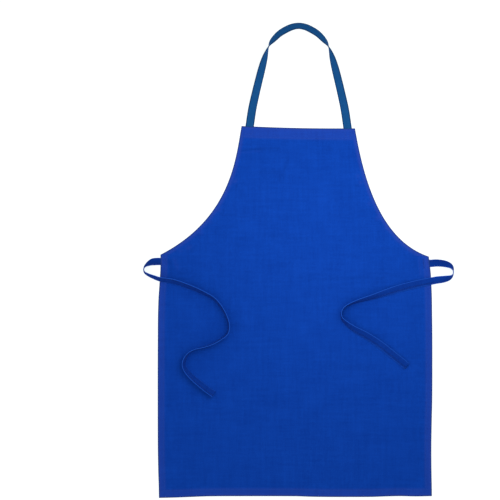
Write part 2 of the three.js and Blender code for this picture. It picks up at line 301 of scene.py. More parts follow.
def tape_section(width, thickness, crown, seam, seam_depth):
    """A flat section with round edges, fuller in the middle and pulled in where a seam runs"""
    turn = np.linspace(0, 2 * math.pi, section_points, endpoint=False) + math.pi / section_points
    flatness = thickness / width
    side = np.sign(np.cos(turn)) * np.abs(np.cos(turn)) ** 0.75
    face = np.sign(np.sin(turn)) * np.abs(np.sin(turn)) ** (0.45 - 0.5 * flatness)
    full = 1 - crown * side ** 2
    across = side * width / 2
    pulled = seam_depth * np.exp(-(((across - seam) / seam_groove_reach) ** 2))
    return across, face * (full * thickness / 2 - pulled)


def new_object(name, mesh):
    made = bpy.data.objects.new(name, mesh)
    bpy.context.scene.collection.objects.link(made)
    return made


def smooth_shaded(mesh):
    mesh.polygons.foreach_set("use_smooth", np.ones(len(mesh.polygons), bool))


def make_tape(name, line, width, thickness, sewn, seam=0, seam_depth=0, crown=0.12):
    """Lofts the section along the line, pressed flat where it is sewn in, and closes both ends"""
    side, face = tape_section(width, thickness, crown, seam, seam_depth)
    run = line["run"]
    count = len(run)
    fullness = np.ones(count)
    for from_end, held in zip((run, run[-1] - run), sewn):
        if held:
            fullness *= sewn_flatness + (1 - sewn_flatness) * soft_step(held, held + 0.02, from_end)
    fullness[[0, -1]] *= end_fullness
    points = (
        line["centre"][:, None, :]
        + line["across"][:, None, :] * side[None, :, None]
        + line["normal"][:, None, :] * (face[None, :] * fullness[:, None])[:, :, None]
    )
    faces = []
    for i in range(count - 1):
        for k in range(section_points):
            after = (k + 1) % section_points
            a = i * section_points
            b = a + section_points
            faces.append((a + k, a + after, b + after, b + k))
    last = (count - 1) * section_points
    half = section_points // 2
    for k in range(half - 1):
        low, high = k, section_points - 1 - k
        faces.append((low + 1, low, high, high - 1))
        faces.append((last + low, last + low + 1, last + high - 1, last + high))
    mesh = bpy.data.meshes.new(name)
    mesh.from_pydata(points.reshape(-1, 3).tolist(), [], faces)
    mesh.validate()
    smooth_shaded(mesh)
    corners = np.zeros(len(mesh.loops), int)
    mesh.loops.foreach_get("vertex_index", corners)
    flat = np.stack([run[corners // section_points], side[corners % section_points]], axis=1)
    mesh.uv_layers.new(name="tape").data.foreach_set("uv", flat.ravel())
    return new_object(name, mesh)


# %% [markdown]
# ### Neck strap
#
# The strap is one length of tape, sewn into the top hem at both ends. Its legs lie flat, it turns
# half over at each shoulder, and the arch shows its other face. Left and right are alike, so only
# one half is listed, from the bib's top edge up to the middle.

# %% The route of the neck strap
lowest = 0.0003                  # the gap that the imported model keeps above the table
clearance = 0.0002               # between things that lie on each other
loop_middle = 0.0106
strap_width = 0.0216
strap_thickness = 0.0026
strap_sewn = 0.022

strap_half = [
    (0.1257, 0.0000, 0.0, 0),
    (0.1184, 0.0478, lowest, 12),
    (0.1074, 0.0976, lowest, 22),
    (0.0943, 0.1504, lowest, 31),
    (0.0874, 0.1759, lowest, 48),
    (0.0820, 0.1938, lowest, 70),
    (0.0772, 0.2060, lowest, 90),
    (0.0682, 0.2203, lowest, 124),
    (0.0500, 0.2396, lowest, 140),
    (0.0310, 0.2516, lowest, 144),
    (0.0160, 0.2580, lowest, 142),
]
strap_top = (0.0, 0.2606, lowest, 140)

top_left = (-0.1340, 0.34068)
top_right = (0.1540, 0.33468)
top_middle = (top_left[1] + top_right[1]) / 2


def top_edge(x):
    """Height in the plan of the bib's straight top edge"""
    share = (x - top_left[0]) / (top_right[0] - top_left[0])
    return top_left[1] + share * (top_right[1] - top_left[1])


def strap_row(row, sign):
    x, y, base, roll = row
    root = top_edge(loop_middle + sign * strap_half[0][0])
    share = 1 - y / strap_top[1]
    height = top_middle + y + (root - top_middle) * share
    return (loop_middle + sign * x, height, base + clearance, -roll)


def sewn_row(root, following):
    """Runs the leg straight on, down into the hem"""
    step = np.array(root[:2]) - np.array(following[:2])
    inside = np.array(root[:2]) + step / np.linalg.norm(step) * strap_sewn
    return (*inside, root[2], 0)


right_half = [strap_row(row, 1) for row in strap_half]
left_half = [strap_row(row, -1) for row in strap_half]
strap_rows = [
    *right_half,
    (loop_middle, top_middle + strap_top[1], strap_top[2], -strap_top[3]),
    *reversed(left_half),
]
sewn_rows = [
    sewn_row(strap_rows[0], strap_rows[1]),
    *strap_rows,
    sewn_row(strap_rows[-1], strap_rows[-2]),
]
tape_step = 0.0025
strap_line = tape_line(sewn_rows, strap_width, strap_thickness, tape_step)
neck_strap = make_tape(
    "neck_strap_tape", strap_line, strap_width, strap_thickness, (strap_sewn, strap_sewn)
)

# %% [markdown]
# ### Waist ties
#
# Each tie is a strip of the apron's own cloth, folded in and sewn shut. It leaves the side edge
# flat, stands up on its edge as it doubles back in a tight loop, climbs on to the front and lies
# there in loose curves. The rows are measured from the point where the tie leaves the edge. The
# last stretch of the left tie leans to one side, and the right one turns right over.

# %% The routes of the ties
tie_width = 0.019
tie_thickness = 0.0024
tie_sewn = 0.012
tie_seam_inset = 0.0048
tie_seam = tie_width / 2 - tie_seam_inset
tie_seam_depth = 0.0008
on_front = front + clearance

left_tie_route = [
    (tie_sewn, 0.0000, 0.0, 0),
    (0.0000, 0.0000, 0.0, 0),
    (-0.0060, 0.0000, 0.0, 0),
    (-0.0166, -0.0008, lowest, 12),
    (-0.0257, -0.0042, lowest, 42),
    (-0.0330, -0.0082, lowest, 62),
    (-0.0388, -0.0130, lowest, 78),
    (-0.0416, -0.0202, lowest, 86),
    (-0.0390, -0.0280, 2 * lowest, 78),
    (-0.0290, -0.0346, 0.0016, 68),
    (-0.0148, -0.0405, on_front, 60),
    (-0.0005, -0.0455, on_front, 56),
    (0.0333, -0.0508, on_front, 54),
    (0.0746, -0.0645, on_front, 56),
    (0.1100, -0.0796, on_front, 62),
    (0.1382, -0.0955, on_front, 68),
    (0.1590, -0.1195, on_front, 73),
    (0.1736, -0.1505, on_front, 75),
    (0.1764, -0.1692, on_front, 76),
    (0.1723, -0.1851, on_front, 78),
    (0.1561, -0.1992, on_front, 81),
    (0.1331, -0.2123, on_front, 84),
    (0.1095, -0.2200, on_front, 87),
    (0.0864, -0.2265, on_front, 93),
    (0.0708, -0.2380, on_front, 103),
    (0.0625, -0.2532, on_front, 112),
    (0.0612, -0.2667, on_front, 118),
    (0.0688, -0.2818, on_front, 124),
    (0.0830, -0.2972, on_front, 132),
    (0.1030, -0.3142, on_front, 141),
    (0.1225, -0.3295, on_front, 146),
    (0.1382, -0.3400, on_front, 149),
]
right_tie_route = [
    (-tie_sewn, 0.0000, 0.0, 0),
    (0.0000, 0.0000, 0.0, 0),
    (0.0060, 0.0000, 0.0, 0),
    (0.0200, 0.0010, lowest, -14),
    (0.0420, -0.0016, lowest, -30),
    (0.0544, -0.0070, lowest, -48),
    (0.0604, -0.0145, lowest, -72),
    (0.0620, -0.0225, lowest, -88),
    (0.0600, -0.0305, 2 * lowest, -77),
    (0.0520, -0.0366, 0.0016, -50),
    (0.0370, -0.0406, 0.0028, -25),
    (0.0200, -0.0428, on_front, -10),
    (0.0021, -0.0462, on_front, -5),
    (-0.0231, -0.0510, on_front, -8),
    (-0.0444, -0.0559, on_front, -10),
    (-0.0797, -0.0652, on_front, -14),
    (-0.1103, -0.0749, on_front, -28),
    (-0.1423, -0.0855, on_front, -45),
    (-0.1756, -0.0947, on_front, -62),
    (-0.2035, -0.1046, on_front, -76),
    (-0.2190, -0.1138, on_front, -86),
    (-0.2251, -0.1246, on_front, -92),
    (-0.2241, -0.1385, on_front, -100),
    (-0.2130, -0.1525, on_front, -122),
    (-0.1938, -0.1674, on_front, -143),
    (-0.1608, -0.1852, on_front, -157),
    (-0.1279, -0.2066, on_front, -165),
    (-0.0986, -0.2296, on_front, -168),
    (-0.0753, -0.2482, on_front, -170),
    (-0.0567, -0.2638, on_front, -172),
]
left_exit = (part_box("left_tie_root")[1].x - tie_sewn, -0.00542)
right_exit = (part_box("right_tie_root")[0].x + tie_sewn, -0.01022)


def placed_rows(route, leaves):
    """Rows in the frame, following the cloth wherever they rest on it"""
    rows = []
    for x, y, base, roll in route:
        x = x + leaves[0]
        y = y + leaves[1]
        if base == on_front:
            base = base + float(settled(x, y))
        rows.append((x, y, base + clearance, roll))
    return rows


ties = {}
for side_name, route, leaves in (
    ("left", left_tie_route, left_exit),
    ("right", right_tie_route, right_exit),
):
    line = tape_line(placed_rows(route, leaves), tie_width, tie_thickness, tape_step)
    made = make_tape(
        f"{side_name}_tie_tape", line, tie_width, tie_thickness, (tie_sewn, 0), tie_seam, tie_seam_depth
    )
    ties[side_name] = {"line": line, "object": made, "leaves": (*leaves, front / 2)}
    print(f"{side_name} tie: {line['run'][-1]:.3f} m, of which {tie_sewn:.3f} m is sewn in")

# %% [markdown]
# ## Cloth
#
# Bib and skirt are one cut of cloth, so they are one mesh: a front and a back that meet in a
# rounded rim. A plane with a Solidify modifier would give it one thickness everywhere, and the
# turned edges would be lost. Instead the mesh is a grid of rows and columns whose spacing is
# close at the rim, at each seam and at the fold, and wide between them. How far a vertex lies from
# each edge then gives its height: full at the hems, with a shallow groove where a seam pulls the
# layers together, lower where the cloth is single, and on the back a small wall where the turned
# layer ends.

# %% The outline
waist_left = (-0.3437, 0.0121)
waist_right = (0.3443, 0.0073)
corner_left = (-0.1357, 0.3419)
corner_right = (0.1552, 0.3359)

left_side_points = [
    waist_left,
    (-0.3434, -0.0100),
    (-0.3438, -0.0250),
    (-0.3461, -0.0620),
    (-0.3483, -0.0927),
    (-0.3498, -0.1311),
    (-0.3505, -0.2080),
    (-0.3508, -0.3000),
    (-0.3506, -0.4600),
    (-0.3494, -0.5414),
    (-0.3480, -0.5900),
    (-0.3476, -0.6119),
]
right_side_points = [
    waist_right,
    (0.3465, -0.0080),
    (0.3483, -0.0235),
    (0.3499, -0.0420),
    (0.3513, -0.0700),
    (0.3523, -0.0950),
    (0.3528, -0.1310),
    (0.3535, -0.2000),
    (0.3536, -0.2600),
    (0.3532, -0.3600),
    (0.3520, -0.4130),
    (0.3509, -0.4900),
    (0.3513, -0.5414),
    (0.3521, -0.5850),
    (0.3523, -0.6071),
]
bottom_points = [
    (-0.3476, -0.6119),
    (-0.3050, -0.6108),
    (-0.2670, -0.6093),
    (-0.2280, -0.6078),
    (-0.1900, -0.6073),
    (-0.0900, -0.6072),
    (0.0000, -0.6074),
    (0.0400, -0.6087),
    (0.1200, -0.6094),
    (0.1950, -0.6092),
    (0.2350, -0.6078),
    (0.2720, -0.6070),
    (0.3100, -0.6079),
    (0.3523, -0.6071),
]
armhole_pulls = {
    "left": ((-0.015, -0.082), (0.182, 0.094)),
    "right": ((0.022, -0.128), (-0.125, 0.042)),
}
top_edge_sags = 0.0021


def armhole(top, waist, pulls):
    """Points along one armhole, a single cubic curve"""
    t = np.linspace(0, 1, 400)[:, None]
    a, d = np.array(top), np.array(waist)
    b, c = a + pulls[0], d + pulls[1]
    return a * (1 - t) ** 3 + 3 * b * t * (1 - t) ** 2 + 3 * c * t ** 2 * (1 - t) + d * t ** 3


def through(points, at):
    """A smooth curve through listed points, read as second coordinate over first"""
    table = np.array(sorted(points), float)
    return hermite(table[:, 0], table[:, 1], level_slopes(table[:, 0], table[:, 1]), at)


def side_x(points, y):
    return through([(b, a) for a, b in points], y)


def armhole_x(curve, y):
    order = np.argsort(curve[:, 1])
    return np.interp(y, curve[order, 1], curve[order, 0])


armholes = {
    "left": armhole(corner_left, waist_left, armhole_pulls["left"]),
    "right": armhole(corner_right, waist_right, armhole_pulls["right"]),
}

# %% Rows and columns
bottom_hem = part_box("bottom_hem")[1].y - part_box("bottom_hem")[0].y
top_hem = 0.028
armhole_hem = 0.008
seam_inset = 0.0016
cloth_thickness = 0.0008
rim = 0.0013

bottom_middle = -0.6067
waist_middle = (waist_left[1] + waist_right[1]) / 2
whole_length = top_middle - bottom_middle
skirt_length = waist_middle - bottom_middle
fold_reach = 0.0067


def edge_offsets(hem):
    """Distances from an edge that its rim, its hem and its seam need"""
    at_rim = [0, 0.00010, 0.00035, 0.00075, rim, 0.0025]
    seam = hem - seam_inset
    at_seam = [seam - 0.0014, seam - 0.0006, seam, seam + 0.0006, hem - 0.0004, hem - 0.0001]
    past_seam = [hem + 0.0001, hem + 0.0006, hem + 0.0016, hem + 0.0034, hem + 0.0060]
    between = np.linspace(0.0032, seam - 0.0024, 5)
    return np.array([*at_rim, *between, *at_seam, *past_seam])


def even_places(start, end, step):
    return np.linspace(start, end, max(2, math.ceil((end - start) / step) + 1))


row_step = 0.0040
fold_low = waist_fold.y - fold_reach - bottom_middle
fold_high = waist_fold.y + fold_reach - bottom_middle
bottom_rows = edge_offsets(bottom_hem)
top_rows = whole_length - edge_offsets(top_hem)[::-1]
rows = np.concatenate([
    bottom_rows,
    even_places(bottom_rows[-1], fold_low, row_step)[1:-1],
    even_places(fold_low, fold_high, 0.0010),
    even_places(fold_high, top_rows[0], row_step)[1:-1],
    top_rows,
])
on_waist = np.argmin(np.abs(rows - skirt_length))
rows[on_waist] = skirt_length
middle_columns = 120
print(f"{len(rows)} rows")

# %% Where the rows start and end
in_skirt = rows <= skirt_length
skirt_share = np.clip(rows / skirt_length, 0, 1)
bib_share = np.clip((rows - skirt_length) / (whole_length - skirt_length), 0, 1)


def row_end(side_points, hole, waist, top):
    """x and y of each row's end, and the sine of the edge's slope there"""
    corner = side_points[-1]
    y_skirt = corner[1] + (waist[1] - corner[1]) * skirt_share
    y_bib = waist[1] + (top[1] - waist[1]) * bib_share
    y = np.where(in_skirt, y_skirt, y_bib)
    x = np.where(in_skirt, side_x(side_points, y), armhole_x(hole, y))
    nudge = 0.0005
    lean_skirt = (side_x(side_points, y + nudge) - side_x(side_points, y - nudge)) / (2 * nudge)
    lean_bib = (armhole_x(hole, y + nudge) - armhole_x(hole, y - nudge)) / (2 * nudge)
    lean = np.where(in_skirt, np.clip(lean_skirt, -0.3, 0.3), lean_bib)
    return x, y, 1 / np.sqrt(1 + lean ** 2)


left_x, left_y, left_sine = row_end(left_side_points, armholes["left"], waist_left, corner_left)
right_x, right_y, right_sine = row_end(right_side_points, armholes["right"], waist_right, corner_right)
hem_of_row = np.where(in_skirt, side_hem, armhole_hem)

# %% The plan of the grid
left_offsets = np.stack([edge_offsets(hem) for hem in hem_of_row])
left_part = left_x[:, None] + left_offsets / left_sine[:, None]
right_part = right_x[:, None] - left_offsets[:, ::-1] / right_sine[:, None]
shares = np.linspace(0, 1, middle_columns + 2)[None, 1:-1]
middle_part = left_part[:, -1:] + (right_part[:, :1] - left_part[:, -1:]) * shares
grid_x = np.concatenate([left_part, middle_part, right_part], axis=1)

run_share = (grid_x - left_x[:, None]) / (right_x - left_x)[:, None]
straight = left_y[:, None] + (right_y - left_y)[:, None] * run_share
corner_line = bottom_points[0][1] + (bottom_points[-1][1] - bottom_points[0][1]) * run_share
bottom_bend = through(bottom_points, np.clip(grid_x, bottom_points[0][0], bottom_points[-1][0]))
bottom_bend = (bottom_bend - corner_line) * (1 - skirt_share[:, None]) ** 1.5
top_bend = -top_edge_sags * np.sin(math.pi * run_share) * bib_share[:, None] ** 3
grid_y = straight + bottom_bend + top_bend
print(f"{grid_x.shape[0]} by {grid_x.shape[1]} places on each face")

# %% The heights of the front and the back
from_left = (grid_x - left_x[:, None]) * left_sine[:, None]
from_right = (right_x[:, None] - grid_x) * right_sine[:, None]
from_bottom = np.repeat(rows[:, None], grid_x.shape[1], axis=1)
from_top = whole_length - from_bottom
edges = [
    (from_left, hem_of_row[:, None]),
    (from_right, hem_of_row[:, None]),
    (from_bottom, bottom_hem),
    (from_top, top_hem),
]
nearest = np.minimum.reduce([distance for distance, _ in edges])
round_off = np.sqrt(1 - (1 - np.clip(nearest / rim, 0, 1)) ** 2)
hem_front = np.maximum.reduce([
    1 - soft_step(hem - 0.0006, hem + 0.0045, away) for away, hem in edges
])
hem_back = np.maximum.reduce([
    1 - soft_step(hem - 0.00012, hem + 0.00012, away) for away, hem in edges
])
groove = np.maximum.reduce([
    np.exp(-(((away - hem + seam_inset) / 0.0009) ** 2)) * soft_step(0, 0.004, nearest)
    for away, hem in edges
])

# A sewn edge puckers: short waves, strongest near the seam and gone about 35 mm inside
seam_reach = 0.012
near_seam = np.exp(-((np.maximum(nearest - 0.008, 0) / seam_reach) ** 2))
wander_x = grid_x * 310 + 2.0 * np.sin(grid_y * 47)
wander_y = grid_y * 290 + 2.2 * np.sin(grid_x * 41)
waves = np.sin(wander_x) * np.sin(wander_y)
waves = waves + 0.6 * np.sin((grid_x + grid_y) * 173 + 1.3) * np.sin((grid_x - grid_y) * 119)
pucker_height = 0.00016
pucker = pucker_height * waves * near_seam

line_depth = pressed_lines(grid_x, grid_y)

back_rest = 0.0002
hem_thickness = front - back_rest
groove_depth = 0.00030
lowest_rise = -0.0001 - 0.0005 * (1 - hem_front)
rise = np.maximum(lift(grid_x, grid_y) + pucker, lowest_rise)
middle_height = back_rest + hem_thickness / 2
front_flat = front - single_layer_sinks * (1 - hem_front) - groove_depth * groove
back_flat = back_rest * hem_back + (front_flat - cloth_thickness) * (1 - hem_back) + 0.0001 * groove
front_z = middle_height + (front_flat - middle_height) * round_off + rise
back_z = middle_height + (back_flat - middle_height) * round_off + rise

# %% The mesh
def grid_mesh(name):
    """Front and back share the places along the rim, so the sheet is closed"""
    count_rows, count_columns = grid_x.shape
    front_ids = np.arange(count_rows * count_columns).reshape(count_rows, count_columns)
    back_ids = front_ids.copy()
    inner = (count_rows - 2) * (count_columns - 2)
    back_ids[1:-1, 1:-1] = front_ids.size + np.arange(inner).reshape(count_rows - 2, -1)
    front_points = np.stack([grid_x, grid_y, front_z], axis=2).reshape(-1, 3)
    back_points = np.stack([grid_x, grid_y, back_z], axis=2)[1:-1, 1:-1].reshape(-1, 3)

    def quads(ids):
        return np.stack([ids[:-1, :-1], ids[:-1, 1:], ids[1:, 1:], ids[1:, :-1]], axis=2).reshape(-1, 4)

    faces = np.concatenate([quads(front_ids), quads(back_ids)[:, ::-1]])
    mesh = bpy.data.meshes.new(name)
    mesh.from_pydata(np.concatenate([front_points, back_points]).tolist(), [], faces.tolist())
    mesh.validate()
    smooth_shaded(mesh)
    in_hem = np.concatenate([hem_front.reshape(-1), hem_back[1:-1, 1:-1].reshape(-1)])
    pressed = np.concatenate([line_depth.reshape(-1), line_depth[1:-1, 1:-1].reshape(-1)])
    to_edge = np.concatenate([nearest.reshape(-1), nearest[1:-1, 1:-1].reshape(-1)])
    for label, values in (("in_hem", in_hem), ("to_edge", to_edge), ("pressed", pressed)):
        layer = mesh.attributes.new(label, "FLOAT", "POINT")
        layer.data.foreach_set("value", values.astype(np.float32))
    return mesh


apron_cloth = new_object("apron_cloth", grid_mesh("apron_cloth"))

# %% [markdown]
# ## Finishes
#
# Every finish is a small tree of nodes. Written node by node such a tree is long and hard to
# check, so values are wrapped in a class whose operators add the Math nodes, and one method makes
# every other node. Colours never pass through Math nodes: they go through Mix nodes.

# %% Values that can be added and multiplied
class Value:
    """A number that varies over a surface"""

    def __init__(self, finish, socket):
        self.finish = finish
        self.socket = socket

    def math(self, operation, *others):
        links = {i + 1: other for i, other in enumerate(others)}
        return self.finish.node("ShaderNodeMath", {"operation": operation}, {0: self, **links})

    def __add__(self, other):
        return self.math("ADD", other)

    def __sub__(self, other):
        return self.math("SUBTRACT", other)

    def __mul__(self, other):
        return self.math("MULTIPLY", other)

    def __rsub__(self, other):
        return self.math("MULTIPLY_ADD", -1.0, other)

    def __pow__(self, other):
        return self.math("POWER", other)

    __radd__ = __add__
    __rmul__ = __mul__

    def sine(self):
        return self.math("SINE")

    def size(self):
        return self.math("ABSOLUTE")

    def clipped(self):
        return self.math("MULTIPLY_ADD", 1.0, 0.0).math("MINIMUM", 1.0).math("MAXIMUM", 0.0)


class Finish:
    """A material made of nodes"""

    def __init__(self, name):
        self.material = bpy.data.materials.new(name)
        self.material.use_nodes = True
        self.tree = self.material.node_tree
        self.shader = self.tree.nodes["Principled BSDF"]

    def node(self, kind, settings=None, values=None, output=0):
        """Adds a node. Settings are its own choices, values its sockets' numbers or links."""
        made = self.tree.nodes.new(kind)
        for name, choice in (settings or {}).items():
            setattr(made, name, choice)
        for name, given in (values or {}).items():
            self.feed(made.inputs[name], given)
        return Value(self, made.outputs[output])

    def feed(self, socket, given):
        if isinstance(given, Value):
            self.tree.links.new(given.socket, socket)
        else:
            socket.default_value = given

    def mixed(self, share, first, second):
        """A colour between two others"""
        values = {"Factor": share, 6: first, 7: second}
        return self.node("ShaderNodeMix", {"data_type": "RGBA"}, values, output=2)

    def attribute(self, name):
        return self.node("ShaderNodeAttribute", {"attribute_name": name}, output="Fac")

    def places(self, source):
        """x, y and z of a coordinate, in metres"""
        made = self.node("ShaderNodeTexCoord", output=source)
        return made, [self.node("ShaderNodeSeparateXYZ", {}, {0: made}, output=axis) for axis in "XYZ"]

    def noise(self, vector, scale, detail=2.0):
        values = {"Vector": vector, "Scale": scale, "Detail": detail}
        return self.node("ShaderNodeTexNoise", {}, values, output="Fac")

    def stretched(self, vector, scale):
        return self.node("ShaderNodeMapping", {}, {"Vector": vector, "Scale": scale})

    def surface(self, **values):
        for name, given in values.items():
            self.feed(self.shader.inputs[name.replace("_", " ")], given)


# %% [markdown]
# ### Cotton cloth and tape
#
# The cloth is a plain weave: threads cross over and under one another in a fine check. Its sign
# says which of the two threads lies on top, and its size gives each crossing a rounded crown.
# Yarn is uneven, so long thin noise along each direction makes some threads thicker, and wide
# faint noise gives the dye its slight cloudiness. On the cloth the pattern follows Object
# coordinates. On a tape it follows the tape's own map, whose two numbers are also in metres.

# %% The weave
def weave(finish, vector, first, second, pitch):
    """Height and thread-on-top of a plain weave, and the unevenness of its yarn"""
    crossing = (first * (math.pi / pitch)).sine() * (second * (math.pi / pitch)).sine()
    height = crossing.size() ** 0.6
    on_top = (crossing * 3.0 + 0.5).clipped()
    slub_one = finish.noise(finish.stretched(vector, (1100.0, 26.0, 1.0)), 1.0)
    slub_two = finish.noise(finish.stretched(vector, (26.0, 1100.0, 1.0)), 1.0)
    slubs = slub_one + slub_two - 1.0
    return height, on_top, slubs


def cotton(name, source, deep, pale, pitch, tints):
    """Woven cotton between two blues, with further colours where each tint's rule says"""
    finish = Finish(name)
    vector, (first, second, _) = finish.places(source)
    height, on_top, slubs = weave(finish, vector, first, second, pitch)
    clouds = finish.noise(vector, 21.0, 3.0) - 0.5
    grain = finish.noise(vector, 260.0, 2.0) - 0.5
    streak_one = finish.noise(finish.stretched(vector, (130.0, 10.0, 1.0)), 1.0)
    streak_two = finish.noise(finish.stretched(vector, (10.0, 130.0, 1.0)), 1.0)
    streaks = streak_one + streak_two - 1.0
    uneven = clouds * 0.8 + grain * 0.9 + slubs * 0.9 + streaks * 0.7
    shade = (0.5 + uneven + (on_top - 0.5) * 0.22).clipped()
    colour = finish.mixed(shade, deep, pale)
    for rule, tint in tints:
        colour = finish.mixed(rule(finish, first, second), colour, tint)
    bump_height = height * 0.5 + slubs * 0.7 + grain * 0.25
    bump_values = {"Strength": 0.55, "Distance": 0.00022, "Height": bump_height}
    bump = finish.node("ShaderNodeBump", {}, bump_values, output="Normal")
    finish.surface(Base_Color=colour, Normal=bump, Roughness=0.78 + slubs * 0.2)
    finish.surface(Specular_IOR_Level=0.03, Sheen_Weight=0.02, Sheen_Roughness=0.5)
    finish.surface(Sheen_Tint=(0.4, 0.5, 1.0, 1.0))
    return finish.material


# %% Where each finish changes colour
def pale_edge_and_pucker_highlight(finish, *_):
    """Turned edges are paler, the more so the nearer to the edge, and raised puckers get a painted
    highlight
    """
    near = (1.0 - finish.attribute("to_edge") * 90.0).clipped()
    # painted highlight on the tops of the puckers
    pucker_highlight = (finish.attribute("pressed") * 330.0).clipped()
    return (finish.attribute("in_hem") * 0.20 + near ** 2.0 * 0.38 + pucker_highlight * 0.35).clipped()


def painted_rim_shade(finish, *_):
    """Painted shade darkens the very edge, broken up by noise"""
    rim_shade_breakup = finish.noise(finish.node("ShaderNodeTexCoord", output="Object"), 60.0, 2.0)
    rim_line = ((0.0034 - finish.attribute("to_edge")) * 600.0).clipped()
    return rim_line * (0.50 + rim_shade_breakup * 0.5)


def painted_crease_shade(finish, *_):
    """Painted shade in the bottoms of the creases"""
    return (finish.attribute("pressed") * -420.0).clipped() * 0.45


def fold_wear_and_highlight(finish, _, across):
    """The folded edges of a tie are rubbed pale and carry a painted highlight"""
    return ((across.size() - 0.0082) * 1100.0).clipped() * 0.9


def painted_seam_shade(finish, _, across):
    """Painted shade along the seam of a tie"""
    return (1.0 - (across - tie_seam).size() * 700.0).clipped() * 0.8


def painted_loop_shade(finish, run, _):
    """Painted shade where a tie is bent tight beside the side edge"""
    return (1.0 - (run - 0.045).size() * 19.0).clipped() * 0.45


# the strap is darker along both its edges
def dark_strap_edges(finish, _, across):
    return ((across.size() - 0.0078) * 600.0).clipped() * 0.85


# %% The three cotton finishes
blue_deep = (0.0010, 0.0300, 0.2500, 1.0)
blue_pale = (0.0024, 0.0440, 0.3300, 1.0)
# paler blue of the turned edges, and painted highlight on the puckers
pale_edge_and_highlight_blue = (0.0280, 0.0500, 0.3000, 1.0)
# painted shade along the rim of the cloth
rim_shade_blue = (0.0110, 0.0290, 0.1250, 1.0)
# the ties are the apron's own cloth; their blues are painted darker than the cloth's, as shade on their
# standing flanks
tie_deep_painted_shade = (0.0010, 0.0205, 0.1800, 1.0)
tie_pale_painted_shade = (0.0020, 0.0315, 0.2450, 1.0)
# rubbed pale folds of the ties, with a painted highlight
tie_fold_wear_and_highlight_blue = (0.0100, 0.0760, 0.4300, 1.0)
# painted shade for the creases, the tie seams and the tie loops
painted_shade_blue = (0.0002, 0.0110, 0.1050, 1.0)
tape_deep = (0.0030, 0.0480, 0.1550, 1.0)
tape_pale = (0.0070, 0.0640, 0.2000, 1.0)
tape_dark = (0.0015, 0.0180, 0.0700, 1.0)

weave_pitch = 0.0007
tape_pitch = 0.0011
cloth_tints = [(pale_edge_and_pucker_highlight, pale_edge_and_highlight_blue), (painted_rim_shade, rim_shade_blue), (painted_crease_shade, painted_shade_blue)]
tie_tints = [(fold_wear_and_highlight, tie_fold_wear_and_highlight_blue), (painted_seam_shade, painted_shade_blue), (painted_loop_shade, painted_shade_blue)]
tape_tints = [(dark_strap_edges, tape_dark)]
cloth_finish = cotton("cotton_cloth", "Object", blue_deep, blue_pale, weave_pitch, cloth_tints)
tie_finish = cotton("cotton_tie", "UV", tie_deep_painted_shade, tie_pale_painted_shade, weave_pitch, tie_tints)
tape_finish = cotton("strap_tape", "UV", tape_deep, tape_pale, tape_pitch, tape_tints)


thread_deep = (0.004, 0.034, 0.230, 1.0)
thread_pale = (0.012, 0.070, 0.380, 1.0)


def thread_finish(name):
    finish = Finish(name)
    vector = finish.node("ShaderNodeTexCoord", output="Object")
    fuzz = finish.noise(vector, 2400.0, 1.0)
    colour = finish.mixed(fuzz, thread_deep, thread_pale)
    finish.surface(Base_Color=colour, Roughness=0.5 + fuzz * 0.2)
    finish.surface(Specular_IOR_Level=0.3)
    return finish.material


sewing_thread = thread_finish("sewing_thread")
for piece, finish in (
    (apron_cloth, cloth_finish),
    (neck_strap, tape_finish),
    (ties["left"]["object"], tie_finish),
    (ties["right"]["object"], tie_finish),
):
    piece.data.materials.append(finish)
print(f"{len(bpy.data.materials)} materials")

# %% [markdown]
# ## Stitches
#
# A machine seam is a row of short threads with a dent between them, on both faces of the cloth.
# There are some thousands here, so they are instances: a node tree turns a seam's line into evenly
# spaced points and puts a small flattened bead on each, turned along the seam and facing away
# from the cloth. The line's points carry the direction that they face, so the same tree serves
# the flat cloth and a twisted tie. The tree ends by making the instances real.

